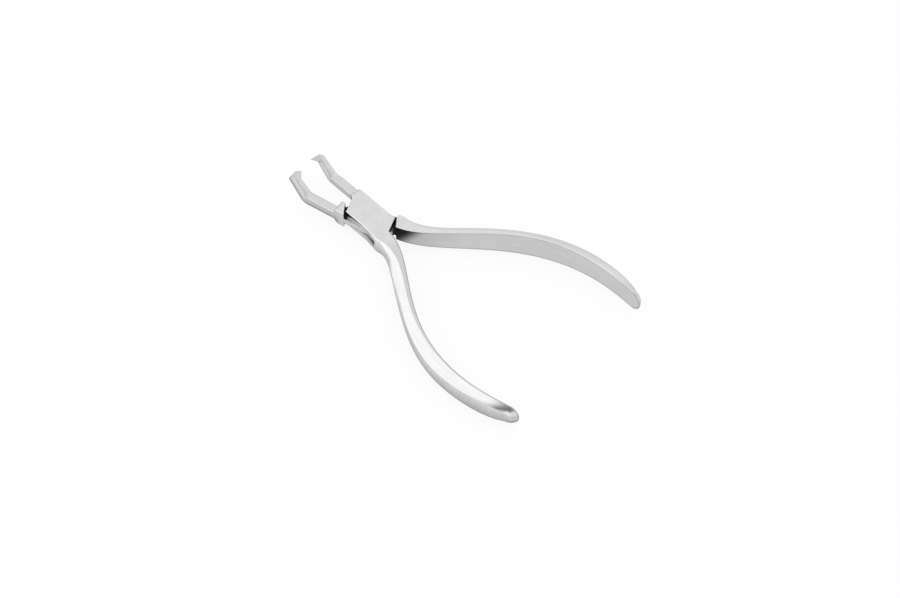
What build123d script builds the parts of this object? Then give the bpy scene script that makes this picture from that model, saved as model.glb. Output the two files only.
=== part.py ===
"""Orthodontic bracket pliers with angled beaks and a box joint.

Frame: the origin is on the pivot axis, at the joint's underside. +X runs towards the beaks,
+Y towards the box arm's handle and +Z up. Both arms are drawn closed, in the joint's middle
plane, and the rest pose holds each of them half the opening away from closed.
"""
import os
from math import cos, dist, radians, sin, sqrt, tan

from build123d import *

# Sizes in millimetres and angles in degrees

# Opening between the two arms in the rest pose
rest_angle = 13.14

# Box joint
joint_thickness = 6.5
joint_half_width = 5.4
plate_slant = 30.0        # turn of the plates' end edges from square
plate_half_length = 8.75  # pivot to a plate's slanted end edge, square to that edge
shoulder_gap = 0.7        # between a plate's end edge and the other arm's shoulder, closed
shoulder_bevel = 1.0      # outer corner of the shoulder at the handle
tongue_thickness = 2.2
slot_clearance = 0.05     # between tongue and plate, on each side
slot_front_gap = 0.25     # between the tongue's front edge and the slot wall at the jaw
slot_back_radius = 10.7   # swept wall at the handle end of the slot
flare_start = 4.0         # behind the pivot, where the sides begin to spread
flare_angle = 7.0
edge_round = 0.3

# Jaw roots in front of the joint
root_length = 1.9         # from the plates' end on the centre line to the front face of the joint
box_root_gap = 1.4        # centre plane to the box arm's root corner
box_notch_gap = 0.2       # centre plane to the notch behind that corner
tongue_root_gap = 0.4     # centre plane to the tongue arm's root corner
root_bevel = 1.4          # under the front of the joint

# Rivet
pin_radius = 1.6
pin_clearance = 0.03
pin_head_radius = 2.2
pin_head_depth = 0.6

# Jaws
jaw_thickness = 3.1
jaw_inner = 2.2           # centre plane to the inner side of a jaw
jaw_outer = 5.3           # centre plane to the outer side of a jaw
jaw_under_round = 0.6     # along the inner side, underneath
bend_start = 24.6         # pivot to the inside corner of the bend
bend_angle = 46.0
bend_inner_radius = 1.2
end_face_angle = 59.0     # rise of the end face's outward normal
tip_length = 8.0          # bend corner to the end face, along the top of the tip
tip_outer = 4.1           # centre plane to the outer corner of the tip
beak_root = 2.0           # centre plane to the foot of the beak
beak_length = 1.7         # foot of the beak to the end face
beak_gap = 0.04           # half of what stays open between the beaks' edges, closed

# Handle's inner face, seen from above, from the joint to the rounded end
crotch_gap = 0.2          # centre plane to the inner corner, at the plates' back edge
handle_setback = 0.8      # from that corner to the first section of the handle
handle_line = [(-20.5, 3.4), (-31.4, 10.0), (-44.3, 17.9), (-57.0, 23.1), (-69.3, 25.2), (-81.4, 24.6)]
handle_end = (-94.4, 21.5)
handle_end_fall = 16.0    # slope of the inner face at the rounded end
handle_inner_round = 0.35

# Handle's sections, from the neck to the tail
section_shares = [0.065, 0.14, 0.3, 0.52, 0.82, 0.94, 1.0]  # of the handle's length
section_thickness = [5.15, 5.05, 4.7, 4.4, 3.9, 3.15, 2.4]
section_height = [6.75, 7.3, 8.3, 9.2, 8.55, 8.1, 7.8]      # of the inner face
section_land = [3.8, 2.45, 1.6, 1.15, 0.8, 0.6, 0.5]        # width of the flat strip beside the inner face
section_side = [4.1, 2.9, 3.7, 5.1, 5.8, 5.6, 4.2]          # height of the outer side
crown_bulge = [0.13, 0.07, 0.07, 0.07, 0.05, 0.05, 0.07]    # of the face between them, per unit of its width

half_thickness = joint_thickness / 2
slant = radians(plate_slant)
flare = radians(flare_angle)
shoulder = plate_half_length + shoulder_gap
jaw_root = plate_half_length / cos(slant) + root_length
quarter_round = (sqrt(2) - 1) / 2  # bulge of a quarter circle


def on_slant(distance, y):
    """Point at height y on the slanted line that lies at this distance from the pivot."""
    return ((distance - y * sin(slant)) / cos(slant), y)


def flared(x):
    """Half width of the joint at x, behind the start of the flare."""
    return joint_half_width - (flare_start + x) * tan(flare)


def flare_corner(distance):
    """Point where the slanted line at this distance behind the pivot meets the flared side."""
    x = (sin(slant) * flared(0) - distance) / (cos(slant) + sin(slant) * tan(flare))
    return (x, -flared(x))


def crotch():
    """Inner corner where the handle leaves the plates' back edge."""
    return on_slant(-plate_half_length, crotch_gap)


def handle_root():
    """Inner corner of the handle's first section, along the flare from the crotch."""
    x, y = crotch()
    return (x - handle_setback * cos(flare), y + handle_setback * sin(flare))


def root_thickness():
    """Thickness of the handle where it leaves the joint."""
    root_x, root_y = handle_root()
    return (flared(root_x) - root_y) * cos(flare)


def handle_curve():
    """Line of the handle's inner face, which leaves the joint along the flare."""
    fall = radians(handle_end_fall)
    start = Vector(-cos(flare), sin(flare))
    end = Vector(-cos(fall), -sin(fall))
    return Spline([handle_root(), *handle_line, handle_end], tangents=[start, end])


def across_handle(curve, share):
    """Plane across the handle, with its X pointing outwards and its Y up."""
    along = curve % share
    return Plane(curve @ share, x_dir=(along.Y, -along.X), z_dir=-along)


def upper_half(thickness, height, land, side, bulge, corner):
    """Upper half of a handle's outline, from the inner face over the crown to the outer side."""
    top = height / 2
    ridge = (thickness, side / 2)
    crown = ((land, top), ridge)
    return [
        Line((0, 0), (0, top - corner)),
        CenterArc((corner, top - corner), corner, 90, 90),
        Line((corner, top), (land, top)),
        SagittaArc(*crown, bulge * dist(*crown)),
        Line(ridge, (thickness, 0)),
    ]


def handle():
    """Bowed handle with a flat inner face, a crowned back and a rounded end."""
    curve = handle_curve()
    thick = root_thickness()
    side = joint_thickness - 2 * edge_round
    halves = [upper_half(thick, joint_thickness, thick - edge_round, side, quarter_round, edge_round)]
    for size in zip(section_thickness, section_height, section_land, section_side, crown_bulge):
        halves.append(upper_half(*size, handle_inner_round))
    sections = []
    for share, half in zip([0, *section_shares], halves):
        outline = half + [edge.mirror(Plane.XZ) for edge in half]
        sections.append(across_handle(curve, share) * make_face(outline))

    tail = across_handle(curve, section_shares[-1])
    quarter = make_face(halves[-1] + [Line((section_thickness[-1], 0), (0, 0))])
    rounded_end = revolve(tail * quarter, Axis(tail.origin, -tail.x_dir), 180)
    return loft(sections) + rounded_end


def block(corner):
    """Full-thickness middle of an arm, between the jaw root and the handle root."""
    root_x, root_y = handle_root()
    thick = root_thickness()
    outer_root = (root_x + thick * sin(flare), root_y + thick * cos(flare))
    outline = Polyline(
        on_slant(plate_half_length, joint_half_width),
        *corner,
        (jaw_root, -joint_half_width),
        (-flare_start, -joint_half_width),
        flare_corner(plate_half_length),
        crotch(),
        handle_root(),
        outer_root,
        (-flare_start, joint_half_width),
        close=True,
    )
    solid = extrude(make_face(outline), half_thickness, both=True)
    bevelled = solid.edges().filter_by(Axis.Y).group_by(Axis.X)[-1].sort_by(Axis.Z)[0]
    solid = chamfer(bevelled, root_bevel)
    faces = solid.faces().sort_by(Axis.Z)
    rims = faces[0].edges() + faces[-1].edges()
    seam = Axis((root_x, root_y, 0), (sin(flare), cos(flare), 0))
    return fillet(rims.filter_by(seam, reverse=True), edge_round)


def jaw():
    """Straight bar, upward bend and inward beak: a side view crossed with a view of the widths."""
    half = jaw_thickness / 2
    bend = radians(bend_angle)
    lift = radians(end_face_angle)
    up = Vector(cos(bend), 0, sin(bend))
    facing = Vector(cos(lift), 0, sin(lift))
    top_corner = Vector(bend_start, 0, half)
    low_corner = Vector(bend_start + jaw_thickness * tan(bend / 2), 0, -half)
    past = tip_length + 2 * jaw_thickness
    back = jaw_root - root_bevel - edge_round
    profile = make_face(Polyline(
        (back, 0, half), top_corner, top_corner + up * past,
        low_corner + up * past, low_corner, (back, 0, -half),
        close=True,
    ))
    profile = fillet(profile.vertices().sort_by_distance(top_corner)[0], bend_inner_radius)
    profile = fillet(profile.vertices().sort_by_distance(low_corner)[0], bend_inner_radius + jaw_thickness)
    side_view = extrude(profile, joint_half_width, both=True)

    end = (top_corner + up * tip_length).dot(facing)
    taper = low_corner.dot(facing)
    widths = make_face(Polyline(
        (0, -jaw_outer), (taper, -jaw_outer), (end, -tip_outer), (end, -beak_gap),
        (end - beak_length, -beak_root), (0, -jaw_inner),
        close=True,
    ))
    facing_plane = Plane((0, 0, 0), x_dir=facing, z_dir=facing.cross(Vector(0, 1, 0)))
    solid = side_view & extrude(facing_plane * widths, 2 * bend_start, both=True)

    inner = solid.faces().filter_by(lambda face: face.normal_at().Y > 0.9)
    under = solid.faces().filter_by(lambda face: abs(face.normal_at().Y) < 0.1 and face.normal_at().Z < 0)
    return fillet(inner.edges() & under.edges(), jaw_under_round)


def arm(corner):
    """Plain arm before the joint is cut, with its jaw on the -Y side and its handle on the +Y side."""
    return block(corner) + handle() + jaw()


def rivet():
    """Pivot pin with a countersunk head flush with each face of the joint."""
    shank = half_thickness - pin_head_depth
    outline = Polyline(
        (0, 0, -half_thickness), (pin_head_radius, 0, -half_thickness), (pin_radius, 0, -shank),
        (pin_radius, 0, shank), (pin_head_radius, 0, half_thickness), (0, 0, half_thickness),
        close=True,
    )
    return revolve(make_face(outline), Axis.Z)


def slot():
    """Opening through the box arm in which the tongue swings."""
    wall = plate_half_length + slot_front_gap
    reach = 2 * slot_back_radius
    behind_wall = Rot(0, 0, -plate_slant) * Pos(wall - reach, 0) * Rectangle(2 * reach, 2 * reach)
    return extrude(Circle(slot_back_radius) & behind_wall, tongue_thickness / 2 + slot_clearance, both=True)


def box_arm():
    """Arm with the two plates, the slot between them and the rivet's holes."""
    corner = [on_slant(plate_half_length, -box_notch_gap), (jaw_root, -box_root_gap)]
    return arm(corner) - slot() - rivet()


def plate_room():
    """Room for the upper plate above the tongue, with the outer corner of the shoulder cut off."""
    strip = Rot(0, 0, plate_slant) * Rectangle(2 * shoulder, 4 * joint_half_width)
    corner = Vector(*flare_corner(shoulder))
    inward = Vector(-sin(slant), cos(slant)) * shoulder_bevel
    back = Vector(-cos(flare), -sin(flare)) * shoulder_bevel
    bevel = make_face(Polyline(corner + inward, corner + back, corner - inward - back, close=True))
    return Pos(0, 0, tongue_thickness / 2) * extrude(strip + bevel, half_thickness)


def tongue_arm():
    """Arm with the tongue that passes through the slot."""
    corner = [on_slant(plate_half_length, -tongue_root_gap), (jaw_root, -tongue_root_gap)]
    above = plate_room()
    bore = Cylinder(pin_radius + pin_clearance, joint_thickness)
    return mirror(arm(corner), about=Plane.XZ) - above - mirror(above, about=Plane.XY) - bore


def settle(solid, turn):
    """Turn a piece to the rest pose and set the joint's underside at height zero."""
    return Pos(0, 0, half_thickness) * Rot(0, 0, turn) * solid


nodes = {
    "box_arm": settle(box_arm(), -rest_angle / 2),
    "tongue_arm": settle(tongue_arm(), rest_angle / 2),
    "pivot_pin": settle(rivet(), 0),
}

os.makedirs("parts", exist_ok=True)
for name, solid in nodes.items():
    export_step(solid, f"parts/{name}.step")
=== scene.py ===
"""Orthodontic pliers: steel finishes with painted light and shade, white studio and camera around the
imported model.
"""
from math import cos, pi, radians, sin

import bpy
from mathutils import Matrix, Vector


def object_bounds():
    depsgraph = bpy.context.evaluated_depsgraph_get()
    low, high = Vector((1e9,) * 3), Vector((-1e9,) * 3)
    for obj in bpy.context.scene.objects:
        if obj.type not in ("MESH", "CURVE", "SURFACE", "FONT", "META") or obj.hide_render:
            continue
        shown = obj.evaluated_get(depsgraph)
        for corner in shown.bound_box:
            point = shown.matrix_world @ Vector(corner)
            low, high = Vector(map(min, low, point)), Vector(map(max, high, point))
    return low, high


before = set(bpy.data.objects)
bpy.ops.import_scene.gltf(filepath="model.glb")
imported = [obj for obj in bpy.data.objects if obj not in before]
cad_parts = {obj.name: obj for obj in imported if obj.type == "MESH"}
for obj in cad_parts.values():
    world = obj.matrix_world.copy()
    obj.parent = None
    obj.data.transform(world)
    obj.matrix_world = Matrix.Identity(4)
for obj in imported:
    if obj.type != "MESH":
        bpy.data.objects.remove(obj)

cad_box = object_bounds()

# Camera, at the photograph's viewing angle (angles from +X towards +Y and from the floor up)
TARGET = Vector((-0.044808, 0.008572, 0.00325))
CAMERA_DISTANCE = 0.7
CAMERA_AZIMUTH = 131.338
CAMERA_ELEVATION = 49.886
CAMERA_NEAR = 0.01
LENS_MM = 82.067
SENSOR_MM = 36.0

# Studio
FLOOR_SIZE = 6.0
FLOOR_DROP = 0.0001
FLOOR_WHITE = 0.9
FLOOR_GLOW = 0.88             # share of plain white in the floor, as it is seen
SKY_LEVEL = 1.05              # all round
SCREEN_AZIMUTH = 106.0        # dark screen beside the camera, which the steel mirrors
SCREEN_ELEVATION = 41.0
SCREEN_FADE = (0.925, 0.98)   # cosines of the angles from its middle, at its rim and where it is full
SCREEN_DROP = 0.52
LAMP_AZIMUTH = 24.0           # soft panel over the beaks' side
LAMP_ELEVATION = 41.0
LAMP_DISTANCE = 0.9
LAMP_SIZE = (0.96, 1.55)
LAMP_LEVEL = 0.37             # brightness that it adds to the sky behind it

# Part, in millimetres and degrees, in the closed arm's own frame
MM = 1000.0
HALF_OPENING = 13.14 / 2      # each arm's turn from closed
MIDDLE_HEIGHT = 3.25          # of the joint
PLATE_SLANT = 30.0
PLATE_REACH = 12.5            # pivot to past the plates' corners
TONGUE_ROOM = 9.48            # pivot to the shoulder, square to it
SLOT_HALF = 1.17
SLOT_REACH = 10.75
SLOT_WALL = 9.02
CROTCH = -9.8                 # where the handles part
RIVET_REACH = 3.2
JAW_TOP = 4.8
BEND_START = 24.6             # pivot to the inside corner of the jaw's bend
BEND_ANGLE = 46.0

# Directions in that frame: the jaw is ahead of the pivot, and the handle lies on the outward side
ALONG = (1, 0, 0)
OUTWARD = (0, 1, 0)
UP = (0, 0, 1)
DOWN = (0, 0, -1)
IN_PLAN = (1, 1, 0)           # leaves the height out

# Stretches in millimetres from the pivot or up: where each fades in, and where it is full
OFF_RIVET = (RIVET_REACH, RIVET_REACH + 0.3)
JAW = (9.0, 12.0)
JAW_CORNER = (14.2, 12.6)
JAW_FRONT_START = (11.3, 11.6)
JAW_FRONT_END = (12.2, 12.0)
JAW_FRONT_HEIGHT = (5.5, 5.8)
TIP = (BEND_START - 0.6, BEND_START + 1.5)
HANDLE = (2.0, -14.0)
HANDLE_LAND = (-12.0, -20.0)
TAIL = (-86.5, -96.5)
TAIL_EDGE = (-84.0, -92.0)
RIM_START = (9.0, 6.0)
RIM_END = (-17.0, -12.0)
RIM_SIDE = (2.5, 4.0)

# Kinds of face, by a share of their normal: where each fades in, and where it is full
SIDE_FACE = (0.6, 0.8)
HANDLE_SIDE_FACE = (0.6, 0.75)
INNER_FACE = (-0.5, -0.8)
NOT_OUTER_FACE = (0.4, 0.2)
TOP_FACE = (0.6, 0.4)
FLAT_FACE = (0.965, 0.992)
UPRIGHT_FACE = (0.5, 0.25)
PLATE_END_FACE = (0.85, 0.95)
CROWN_OUTWARD = (0.1, 0.2)
CROWN_UP = (0.3, 0.5)
TAIL_UP = (0.55, 0.85)
CREASE_INWARD = (-0.1, -0.3)
CREASE_UP = (0.05, 0.25)

# Dark faces, partly unpolished steel and partly painted shade: shares of the near-black colour, and the
# stretches in millimetres where they fade
SLOT_FADE = (8.6, 10.4)
SLOT_SHARES = (0.3, 1.0)
SHOULDER_FADE = (7.6, 8.6)
SHOULDER_TURN = 0.7           # faces that turn further sideways are left out of the dark
# Painted shade in the crotch, where the handles part
CROTCH_SLOPE = (1, 0, 0.85)
CROTCH_NEAR = (-16.5, -9.5)
CROTCH_NEAR_SHARE = 0.82
CROTCH_FAR = (-32.0, -12.0)
CROTCH_FAR_SHARE = 0.18

# Painted dark wedge below the upper plate's outer edge, a painted reflection of the shaded tongue
WEDGE_SLOPE = (0.1, 0, 1)
WEDGE_HEIGHT = (5.55, 5.95)
WEDGE_FADE = (-3.0, 3.0)
WEDGE_SHARES = (0.5, 1.0)
WEDGE_BACK = (-2.6, -1.6)
WEDGE_FRONT = 7.3
WEDGE_FACE = (0.85, 0.97)

# Painted shade in the jaw's bend, in millimetres: a dark line along one edge of the tip and a patch at the
# bend
MARK_WIDTH = (0.9, 0.3)
MARK_START = (23.6, 24.8)
MARK_END = (30.5, 28.5)
MARK_SHARES = (0.5, 1.0)
SHADE_PATCH_MIDDLE = BEND_START + 1.0
SHADE_PATCH_WIDTH = (2.4, 0.2)
SHADE_PATCH_LENGTH = (1.8, 0.2)

# Tones, as factors on the steel's colour
LINE_CONTRAST = 0.04
SIDE_LINE_CONTRAST = 0.1
CLOUD_TONES = (0.975, 1.02)
# Worn edges are a little lighter: partly wear, partly a painted sheen
WORN_AND_SHEEN_TONE = 1.05
RIM_HIGHLIGHT_TONE = 1.2                # painted highlight on the outer edge of the plates
# Painted shade along the inner edges of the handles, darker towards the tail
INNER_EDGE_SHADE_TONES = (0.87, 0.6)
UNDER_SHADE_TONE = 0.55             # painted shade on the lower edges
CORNER_SHADE_TONE = 0.45            # painted shade in the corner between the plate and the jaw
# Strength of the painted shade line across the jaw's top where it meets the joint
FRONT_SHADE_SHARE = 0.4
JAW_TONE = 0.95
# Painted shade: upright faces darker than flat ones
UPRIGHT_SHADE_TONE = 0.87
# Painted shade in the jaw's bend
BEND_SHADE_TONE = 0.78
# Painted light and shade on the jaw's sides: darker downwards, a painted highlight high on the tip's side,
# painted shade at the lower edge
BAR_DEPTHS = (0.3, 2.9)       # below the jaw's top
BAR_SHADE_TONES = (0.99, 0.82)
TIP_DEPTHS = (0.8, 2.0)
TIP_HIGHLIGHT_TONES = (1.27, 0.95)
LOW_DEPTHS = (2.1, 2.9)
LOW_SHADE_TONE = 0.62
# Painted light and shade on the handle's outer side: darker towards the bottom, with lighter and darker
# stretches along it
SIDE_HEIGHTS = (0.3, 6.6)     # on the handle's outer side
SIDE_HEIGHT_SHADE_TONES = (0.74, 1.18)
SIDE_LIGHT_AND_SHADE_TONES = ((-72.0, 1.12), (-60.0, 1.18), (-42.0, 0.84), (-32.0, 0.56),
              (-22.0, 0.52), (-13.0, 1.12), (-10.0, 1.12), (-6.0, 0.7))

# Each arm's own painted light and shade: the tone of the handle's land and inner face, the painted shade
# along the inner crease, the painted dark reflection on the tail; and the edge of its tip that carries the
# painted bend shade: a direction across it and its offset
BOX_TONES = {"handle": 0.91, "crease": 0.62, "tail": 0.35}
BOX_MARK = ((0, -1, 0), -2.1)
TONGUE_TONES = {"handle": 1.02, "crease": 0.95, "tail": 0.95}
TONGUE_MARK = ((-0.26, 1, 0), 11.7)

# Steel
STEEL = (0.662, 0.663, 0.667)
# Near-black of the dark faces: partly unpolished steel, partly painted shade
BARE_STEEL_AND_SHADE = (0.035, 0.034, 0.033, 1.0)
GRAZING_TINT = (0.84, 0.84, 0.84, 1.0)
DRAWN_LINES = (0.07, 0.07, 4.0)     # noise per millimetre
GROUND_LINES = (2.6, 0.3, 0.35)
SATIN = (3.0, 3.0, 3.0)
CLOUDS = (0.16, 0.3, 0.3)
LINE_DETAIL = 3.0
CLOUD_DETAIL = 2.0
NOISE_RANGE = (0.25, 0.75)
LINE_RANGE = (0.2, 0.8)
LINE_ROUGHNESS = (0.11, 0.17)
CLOUD_RANGE = (0.3, 0.7)
CLOUD_ROUGHNESS = 0.06
FLAT_ROUGHNESS = 0.14
WORN_SMOOTHNESS = 0.05
BARE_ROUGHNESS = 0.6
LINE_BUMP = 0.12
LINE_DEPTH = 0.00002

# Rounded edges, with radii in metres: they also find the worn edges, which carry wear and a painted sheen,
# and the lower edges, which carry a painted shade
BEVEL_SAMPLES = 6
EDGE_WIDTHS = (0.0006, 0.001)       # from the joint to the handle
EDGE_WIDENING = (-6.0, -14.0)
WORN_AND_SHEEN_TURN = (0.995, 0.92)
UNDER_SHADE_TURN = (0.02, 0.14)
SOFT_JAW = (8.0, 11.0)
SOFT_JAW_RADII = (0.0001, 0.0005)
SOFT_TAIL = (-80.0, -86.0)
SOFT_TAIL_RADIUS = 0.0004
SOFT_END = (-90.0, -94.0)
SOFT_END_RADIUS = 0.0008


def towards(azimuth, elevation):
    """Direction at two angles in degrees."""
    a, e = radians(azimuth), radians(elevation)
    return Vector((cos(e) * cos(a), cos(e) * sin(a), sin(e)))


class Nodes:
    """Shader nodes of one material or world."""

    def __init__(self, owner):
        owner.use_nodes = True
        self.tree = owner.node_tree
        self.tree.nodes.clear()

    def feed(self, socket, value):
        """Links or sets one input. None leaves it as it is."""
        if isinstance(value, bpy.types.NodeSocket):
            self.tree.links.new(value, socket)
        elif value is not None:
            socket.default_value = value

    def add(self, kind, *inputs, **settings):
        """New node with its settings, and with its inputs linked or set in their order."""
        node = self.tree.nodes.new(kind)
        for name, value in settings.items():
            setattr(node, name, value)
        for socket, value in zip(node.inputs, inputs):
            self.feed(socket, value)
        return node

    def add_named(self, kind, inputs):
        """New node, with its inputs linked or set by their names."""
        node = self.add(kind)
        for name, value in inputs.items():
            self.feed(node.inputs[name], value)
        return node

    def math(self, operation, *inputs):
        return self.add("ShaderNodeMath", *inputs, operation=operation).outputs[0]

    def vector(self, operation, *inputs):
        return self.add("ShaderNodeVectorMath", *inputs, operation=operation).outputs["Vector"]

    def measure(self, operation, *inputs):
        return self.add("ShaderNodeVectorMath", *inputs, operation=operation).outputs["Value"]

    def dot(self, vector, direction):
        return self.measure("DOT_PRODUCT", vector, direction)

    def size(self, value):
        return self.math("ABSOLUTE", value)

    def below(self, value, limit):
        return self.math("LESS_THAN", value, limit)

    def most(self, first, *others):
        for other in others:
            first = self.math("MAXIMUM", first, other)
        return first

    def total(self, first, *others):
        for other in others:
            first = self.math("ADD", first, other)
        return first

    def product(self, first, *others):
        for other in others:
            first = self.math("MULTIPLY", first, other)
        return first

    def ramp(self, value, limits, levels=(0.0, 1.0)):
        """Smooth step from one level to another, as a value goes from one limit to the other."""
        node = self.add("ShaderNodeMapRange", value, *limits, *levels, interpolation_type="SMOOTHSTEP")
        return node.outputs[0]

    def steps(self, value, stops):
        """Smooth steps of a value through a row of places and levels."""
        level = stops[0][1]
        for (start, low), (end, high) in zip(stops, stops[1:]):
            level = self.total(level, self.ramp(value, (start, end), (0.0, high - low)))
        return level

    def blend(self, share, first, second):
        """Mix of two values."""
        return self.add("ShaderNodeMix", share, None, first, second, data_type="FLOAT").outputs[0]

    def toned(self, share, tone):
        """Factor that eases from 1 to a tone with the share."""
        return self.ramp(share, (0.0, 1.0), (1.0, tone))

    def eased(self, share, amount):
        """Amount that eases in from 0 with the share."""
        return self.ramp(share, (0.0, 1.0), (0.0, amount))

    def noise(self, place, scale, detail):
        """Noise between 0 and 1, drawn out along the axes with a small scale."""
        stretched = self.vector("MULTIPLY", place, scale)
        settings = {"Vector": stretched, "Scale": 1.0, "Detail": detail}
        return self.add_named("ShaderNodeTexNoise", settings).outputs[0]


class ArmNodes(Nodes):
    """Nodes of one arm's steel, with places in millimetres and normals in the closed arm's own frame."""

    def __init__(self, material, side):
        super().__init__(material)
        coords = self.add("ShaderNodeTexCoord").outputs
        turn = (0, 0, radians(HALF_OPENING))
        scale = (MM, side * MM, MM)
        mirror = (1, side, 1)
        place = self.add("ShaderNodeMapping", coords["Object"], None, turn, scale)
        normal = self.add("ShaderNodeMapping", coords["Normal"], None, turn, mirror, vector_type="VECTOR")
        self.place = place.outputs[0]
        self.normal = normal.outputs[0]
        self.length = self.dot(self.place, ALONG)
        self.height = self.dot(self.place, UP)
        self.reach = self.measure("LENGTH", self.vector("MULTIPLY", self.place, IN_PLAN))
        self.outward = self.dot(self.normal, OUTWARD)
        self.upward = self.dot(self.normal, UP)
        self.sideways = self.size(self.outward)
        self.off_rivet = self.ramp(self.reach, OFF_RIVET)
        self.flat = self.ramp(self.size(self.upward), FLAT_FACE)
        self.jaw = self.ramp(self.length, JAW)
        self.handle = self.ramp(self.length, HANDLE)
        self.handle_side = self.product(self.ramp(self.outward, HANDLE_SIDE_FACE), self.handle)

    def slant(self, vector, turn):
        """Distance from the pivot, square to a line across the joint that is turned from square."""
        return self.dot(vector, (cos(radians(turn)), sin(radians(turn)), 0))


def slot_shade(arm):
    """Dark faces of the slot, darkest at its back: partly unpolished steel, partly painted shade in the deep
    slot.
    """
    level = arm.size(arm.math("SUBTRACT", arm.height, MIDDLE_HEIGHT))
    before_wall = arm.below(arm.slant(arm.place, -PLATE_SLANT), SLOT_WALL)
    inside = arm.product(arm.below(level, SLOT_HALF), arm.below(arm.reach, SLOT_REACH), before_wall)
    return arm.product(inside, arm.ramp(arm.reach, SLOT_FADE, SLOT_SHARES))


def plate_end_shade(arm):
    """Dark end edges of the plates: partly unpolished steel, partly painted shade in the joint."""
    turned = arm.size(arm.slant(arm.normal, PLATE_SLANT))
    return arm.product(arm.below(arm.reach, PLATE_REACH), arm.ramp(turned, PLATE_END_FACE))


def wedge_shade(arm):
    """Painted dark wedge below the upper plate's outer edge, narrower towards the handle: a painted
    reflection of the shaded tongue.
    """
    rising = arm.ramp(arm.dot(arm.place, WEDGE_SLOPE), WEDGE_HEIGHT)
    fading = arm.product(arm.ramp(arm.length, WEDGE_FADE, WEDGE_SHARES), arm.ramp(arm.length, WEDGE_BACK))
    return arm.product(rising, fading, arm.below(arm.length, WEDGE_FRONT), arm.ramp(arm.outward, WEDGE_FACE))


def shoulder_shade(arm):
    """Dark shoulders of the tongue arm, and the tongue beside them: partly unpolished steel, partly painted
    shade in the gap under the plate.
    """
    across = arm.size(arm.slant(arm.place, -PLATE_SLANT))
    near = arm.product(arm.ramp(across, SHOULDER_FADE), arm.below(across, TONGUE_ROOM))
    return arm.product(near, arm.below(arm.sideways, SHOULDER_TURN))


def crotch_shade(arm):
    """Painted shade on the inner face of the handle where it leaves the joint, fading along the handle: it
    stands for dark reflections in the narrow gap between the handles.
    """
    along = arm.dot(arm.place, CROTCH_SLOPE)
    near = arm.ramp(along, CROTCH_NEAR, (0.0, CROTCH_NEAR_SHARE))
    far = arm.ramp(along, CROTCH_FAR, (0.0, CROTCH_FAR_SHARE))
    inner = arm.product(arm.below(arm.length, CROTCH), arm.ramp(arm.outward, INNER_FACE))
    return arm.product(arm.total(near, far), inner)


def box_bare_and_shade(arm):
    """Dark faces of the box arm: partly unpolished steel in the joint, and painted shade in the slot, on the
    plate's side and in the crotch.
    """
    return arm.most(slot_shade(arm), plate_end_shade(arm), wedge_shade(arm), crotch_shade(arm))


def tongue_bare_and_shade(arm):
    """Dark faces of the tongue arm: partly unpolished steel at the shoulders, and painted shade there and in
    the crotch.
    """
    return arm.most(shoulder_shade(arm), crotch_shade(arm))


def polishing_lines(arm):
    """Lines across the outer sides and along the other upright faces, and satin on flat ones."""
    drawn = arm.noise(arm.place, DRAWN_LINES, LINE_DETAIL)
    ground = arm.noise(arm.place, GROUND_LINES, LINE_DETAIL)
    satin = arm.noise(arm.place, SATIN, LINE_DETAIL)
    outer = arm.ramp(arm.outward, SIDE_FACE)
    return arm.blend(arm.flat, arm.blend(outer, drawn, ground), satin)


def edge_masks(arm):
    """Shares of worn edge, which also carries a painted sheen, and of edge that turns down, for a painted
    shade.
    """
    width = arm.product(arm.off_rivet, arm.ramp(arm.length, EDGE_WIDENING, EDGE_WIDTHS))
    rounded = arm.add("ShaderNodeBevel", width, samples=BEVEL_SAMPLES).outputs[0]
    true_normal = arm.add("ShaderNodeNewGeometry").outputs["Normal"]
    worn_and_sheen = arm.ramp(arm.dot(rounded, true_normal), WORN_AND_SHEEN_TURN)
    under_shade = arm.ramp(arm.dot(rounded, DOWN), UNDER_SHADE_TURN)
    return worn_and_sheen, under_shade


def edge_wear_sheen_and_shade(arm, worn_and_sheen, under_shade):
    """Edges: a painted highlight on the joint's outer side, painted shade along the inner side of the handle
    and below, and worn edges a little lighter, partly wear and partly painted sheen.
    """
    inner = arm.product(arm.handle, arm.ramp(arm.outward, NOT_OUTER_FACE))
    tone = arm.blend(inner, WORN_AND_SHEEN_TONE, arm.ramp(arm.length, TAIL_EDGE, INNER_EDGE_SHADE_TONES))
    beside_joint = arm.product(arm.ramp(arm.length, RIM_START), arm.ramp(arm.length, RIM_END))
    rim_highlight = arm.product(beside_joint, arm.ramp(arm.dot(arm.place, OUTWARD), RIM_SIDE))
    tone = arm.blend(rim_highlight, tone, RIM_HIGHLIGHT_TONE)
    tone = arm.blend(under_shade, tone, UNDER_SHADE_TONE)
    return arm.blend(arm.most(worn_and_sheen, under_shade), 1.0, tone)


def jaw_depth(arm):
    """Distance below the top of the jaw: of its bar, or of the tip that bends up from it."""
    from_bend = arm.vector("SUBTRACT", arm.place, (BEND_START, 0, JAW_TOP))
    bend = radians(BEND_ANGLE)
    below_tip = arm.dot(from_bend, (sin(bend), 0, -cos(bend)))
    return arm.most(arm.dot(from_bend, DOWN), below_tip)


def jaw_side_light_and_shade(arm):
    """Painted light and shade on the sides of the jaw: they darken downwards, with a painted highlight high
    on the tip's side.
    """
    depth = jaw_depth(arm)
    bar = arm.ramp(depth, BAR_DEPTHS, BAR_SHADE_TONES)
    tip = arm.ramp(depth, TIP_DEPTHS, TIP_HIGHLIGHT_TONES)
    tone = arm.blend(arm.ramp(arm.length, TIP), bar, tip)
    tone = arm.product(tone, arm.ramp(depth, LOW_DEPTHS, (1.0, LOW_SHADE_TONE)))
    side = arm.product(arm.jaw, arm.ramp(arm.sideways, SIDE_FACE))
    return arm.blend(side, 1.0, tone)


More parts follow.
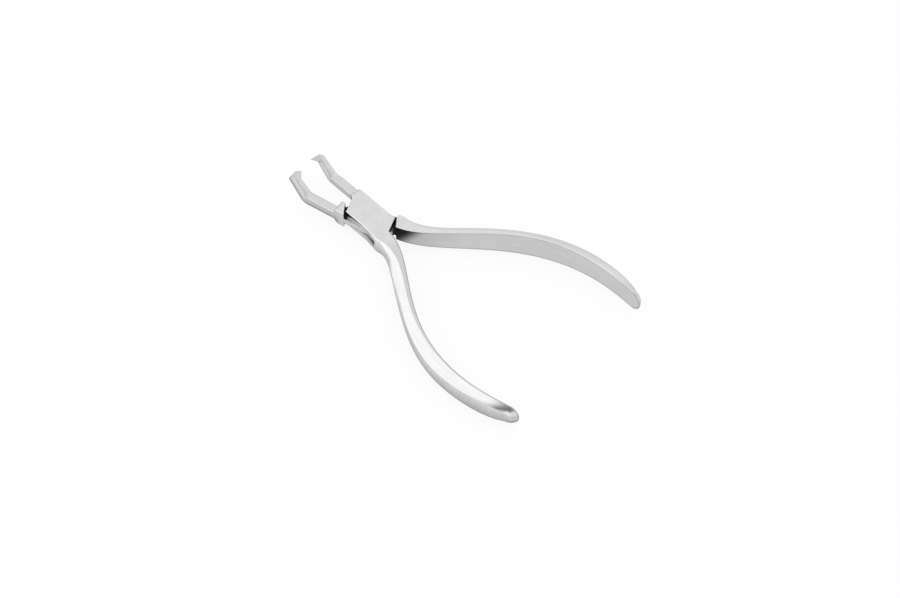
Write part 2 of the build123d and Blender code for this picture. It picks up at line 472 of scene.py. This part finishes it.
def jaw_corner_shade(arm):
    """Painted shade in the corner where the jaw's side meets the joint, and a fainter painted shade line
    across its top.
    """
    outer = arm.ramp(arm.outward, SIDE_FACE)
    corner = arm.product(arm.jaw, outer, arm.ramp(arm.length, JAW_CORNER))
    stretch = arm.product(arm.ramp(arm.length, JAW_FRONT_START), arm.ramp(arm.length, JAW_FRONT_END))
    front = arm.product(stretch, arm.ramp(arm.height, JAW_FRONT_HEIGHT), FRONT_SHADE_SHARE)
    return arm.toned(arm.most(corner, front), CORNER_SHADE_TONE)


def bend_shade_tone(arm, edge):
    """Painted shade on top of the tip, from the bend along one edge: a dark line and a patch that stand for a
    dark reflection in the bend.
    """
    slope, offset = edge
    beside = arm.total(arm.dot(arm.place, slope), offset)
    ends = arm.product(arm.ramp(arm.length, MARK_START), arm.ramp(arm.length, MARK_END, MARK_SHARES))
    line = arm.product(arm.ramp(beside, MARK_WIDTH), ends)
    from_bend = arm.size(arm.math("SUBTRACT", arm.length, SHADE_PATCH_MIDDLE))
    shade_patch = arm.product(arm.ramp(beside, SHADE_PATCH_WIDTH), arm.ramp(from_bend, SHADE_PATCH_LENGTH))
    mark = arm.product(arm.most(line, shade_patch), arm.ramp(arm.sideways, TOP_FACE))
    return arm.toned(mark, BEND_SHADE_TONE)


def handle_light_and_shade(arm, tones):
    """Painted light and shade on the handle: a per-arm tone of its land and inner face, a painted dark
    reflection on the crown's tail, painted shade in the crease, and painted light and shade on the outer
    side.
    """
    crown = arm.product(arm.ramp(arm.outward, CROWN_OUTWARD), arm.ramp(arm.upward, CROWN_UP))
    land = arm.blend(crown, arm.ramp(arm.length, HANDLE_LAND, (1.0, tones["handle"])), 1.0)
    tail = arm.product(crown, arm.ramp(arm.upward, TAIL_UP), arm.ramp(arm.length, TAIL))
    turned = arm.product(arm.ramp(arm.outward, CREASE_INWARD), arm.ramp(arm.upward, CREASE_UP))
    crease = arm.product(arm.handle, turned)
    upwards = arm.ramp(arm.height, SIDE_HEIGHTS, SIDE_HEIGHT_SHADE_TONES)
    side = arm.product(upwards, arm.steps(arm.length, SIDE_LIGHT_AND_SHADE_TONES))
    return arm.product(land, arm.toned(crease, tones["crease"]), arm.toned(tail, tones["tail"]),
                       arm.blend(arm.handle_side, 1.0, side))


def surface_tone(arm, lines, clouds):
    """Lines and clouds of the polish, the jaw as a whole, and painted shade on upright faces."""
    contrast = arm.blend(arm.handle_side, LINE_CONTRAST, SIDE_LINE_CONTRAST)
    tone = arm.math("MULTIPLY_ADD", arm.ramp(lines, NOISE_RANGE, (-1.0, 1.0)), contrast, 1.0)
    upright = arm.ramp(arm.size(arm.upward), UPRIGHT_FACE)
    return arm.product(tone, arm.ramp(clouds, NOISE_RANGE, CLOUD_TONES), arm.toned(arm.jaw, JAW_TONE),
                       arm.toned(upright, UPRIGHT_SHADE_TONE))


def steel_colour(arm, tone, bare_and_shade):
    """Polished steel in its tones, which hold painted light and shade, with the near-black faces between:
    partly bare steel, partly painted shade.
    """
    polished = arm.vector("SCALE", STEEL, None, None, tone)
    not_colours = [None] * 5      # the node's inputs for other kinds of data
    mix = arm.add("ShaderNodeMix", bare_and_shade, *not_colours, polished, BARE_STEEL_AND_SHADE, data_type="RGBA")
    return mix.outputs[2]


def steel_roughness(arm, lines, clouds, worn_and_sheen, bare_and_shade):
    """Rougher on flat faces and on the near-black ones, smoother at worn edges."""
    rough = arm.total(arm.ramp(lines, LINE_RANGE, LINE_ROUGHNESS),
                      arm.ramp(clouds, CLOUD_RANGE, (0.0, CLOUD_ROUGHNESS)),
                      arm.eased(arm.flat, FLAT_ROUGHNESS))
    rough = arm.math("SUBTRACT", rough, arm.eased(worn_and_sheen, WORN_SMOOTHNESS))
    return arm.blend(bare_and_shade, rough, BARE_ROUGHNESS)


def steel_normal(arm, lines):
    """Softly rounded edges on the jaw and the tail, under the relief of the lines."""
    radius = arm.total(arm.ramp(arm.length, SOFT_JAW, SOFT_JAW_RADII),
                       arm.ramp(arm.length, SOFT_TAIL, (0.0, SOFT_TAIL_RADIUS)),
                       arm.ramp(arm.length, SOFT_END, (0.0, SOFT_END_RADIUS)))
    soft = arm.add("ShaderNodeBevel", arm.product(arm.off_rivet, radius), samples=BEVEL_SAMPLES).outputs[0]
    relief = {"Strength": LINE_BUMP, "Distance": LINE_DEPTH, "Height": lines, "Normal": soft}
    return arm.add_named("ShaderNodeBump", relief).outputs[0]


def arm_steel(name, side, bare_and_shade_faces, tones, mark):
    """Polished steel: ground across the outer sides, drawn along the inner faces, satin on top."""
    material = bpy.data.materials.new(name)
    arm = ArmNodes(material, side)
    lines = polishing_lines(arm)
    clouds = arm.noise(arm.place, CLOUDS, CLOUD_DETAIL)
    worn_and_sheen, under_shade = edge_masks(arm)
    bare_and_shade = bare_and_shade_faces(arm)
    tone = arm.product(surface_tone(arm, lines, clouds), edge_wear_sheen_and_shade(arm, worn_and_sheen, under_shade), handle_light_and_shade(arm, tones),
                       jaw_side_light_and_shade(arm), jaw_corner_shade(arm), bend_shade_tone(arm, mark))
    steel = {
        "Metallic": 1.0,
        "Specular Tint": GRAZING_TINT,
        "Base Color": steel_colour(arm, tone, bare_and_shade),
        "Roughness": steel_roughness(arm, lines, clouds, worn_and_sheen, bare_and_shade),
        "Normal": steel_normal(arm, lines),
    }
    shader = arm.add_named("ShaderNodeBsdfPrincipled", steel)
    arm.add("ShaderNodeOutputMaterial", shader.outputs[0])
    return material


def make_camera():
    camera = bpy.data.objects.new("camera", bpy.data.cameras.new("camera"))
    view = towards(CAMERA_AZIMUTH, CAMERA_ELEVATION)
    camera.location = TARGET + CAMERA_DISTANCE * view
    camera.rotation_euler = (-view).to_track_quat("-Z", "Y").to_euler()
    camera.data.sensor_fit = "HORIZONTAL"
    camera.data.sensor_width = SENSOR_MM
    camera.data.lens = LENS_MM
    camera.data.clip_start = CAMERA_NEAR
    bpy.context.collection.objects.link(camera)
    bpy.context.scene.camera = camera


def floor_white():
    """White, lifted towards plain white as it is seen, so that only a faint shadow stays."""
    material = bpy.data.materials.new("floor_white")
    nodes = Nodes(material)
    diffuse = nodes.add("ShaderNodeBsdfDiffuse", (FLOOR_WHITE, FLOOR_WHITE, FLOOR_WHITE, 1))
    white = nodes.add("ShaderNodeEmission", (1, 1, 1, 1), 1.0)
    path = nodes.add("ShaderNodeLightPath").outputs
    seen = nodes.most(path["Is Camera Ray"], path["Is Glossy Ray"], path["Is Transmission Ray"])
    share = nodes.product(seen, FLOOR_GLOW)
    mix = nodes.add("ShaderNodeMixShader", share, diffuse.outputs[0], white.outputs[0])
    nodes.add("ShaderNodeOutputMaterial", mix.outputs[0])
    return material


def make_floor(level):
    half = FLOOR_SIZE / 2
    corners = [(-half, -half, level), (half, -half, level), (half, half, level), (-half, half, level)]
    mesh = bpy.data.meshes.new("floor")
    mesh.from_pydata(corners, [], [(0, 1, 2, 3)])
    mesh.materials.append(floor_white())
    floor = bpy.data.objects.new("floor", mesh)
    bpy.context.collection.objects.link(floor)


def make_room():
    """Pale light all round, with a dark screen beside the camera."""
    world = bpy.data.worlds.new("studio")
    bpy.context.scene.world = world
    nodes = Nodes(world)
    ray = nodes.add("ShaderNodeTexCoord").outputs["Generated"]
    to_screen = nodes.dot(ray, towards(SCREEN_AZIMUTH, SCREEN_ELEVATION))
    level = nodes.ramp(to_screen, SCREEN_FADE, (SKY_LEVEL, SKY_LEVEL - SCREEN_DROP))
    background = nodes.add("ShaderNodeBackground", level)
    nodes.add("ShaderNodeOutputWorld", background.outputs[0])


def make_lamp():
    """Soft panel. Its power for one level of brightness grows with its area."""
    width, height = LAMP_SIZE
    panel = bpy.data.lights.new("soft_panel", "AREA")
    panel.shape = "RECTANGLE"
    panel.size = width
    panel.size_y = height
    panel.energy = LAMP_LEVEL * pi * width * height
    lamp = bpy.data.objects.new("soft_panel", panel)
    aim = towards(LAMP_AZIMUTH, LAMP_ELEVATION)
    lamp.location = LAMP_DISTANCE * aim
    lamp.rotation_euler = (-aim).to_track_quat("-Z", "Y").to_euler()
    bpy.context.collection.objects.link(lamp)


box_steel = arm_steel("box_steel", 1, box_bare_and_shade, BOX_TONES, BOX_MARK)
tongue_steel = arm_steel("tongue_steel", -1, tongue_bare_and_shade, TONGUE_TONES, TONGUE_MARK)
finish = {"box_arm": box_steel, "tongue_arm": tongue_steel, "pivot_pin": box_steel}
for name, material in finish.items():
    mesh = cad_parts[name].data
    for index in range(len(mesh.materials)):
        mesh.materials[index] = material

make_camera()
make_floor(cad_box[0][2] - FLOOR_DROP)
make_room()
make_lamp()

bpy.context.scene.view_settings.view_transform = "Standard"
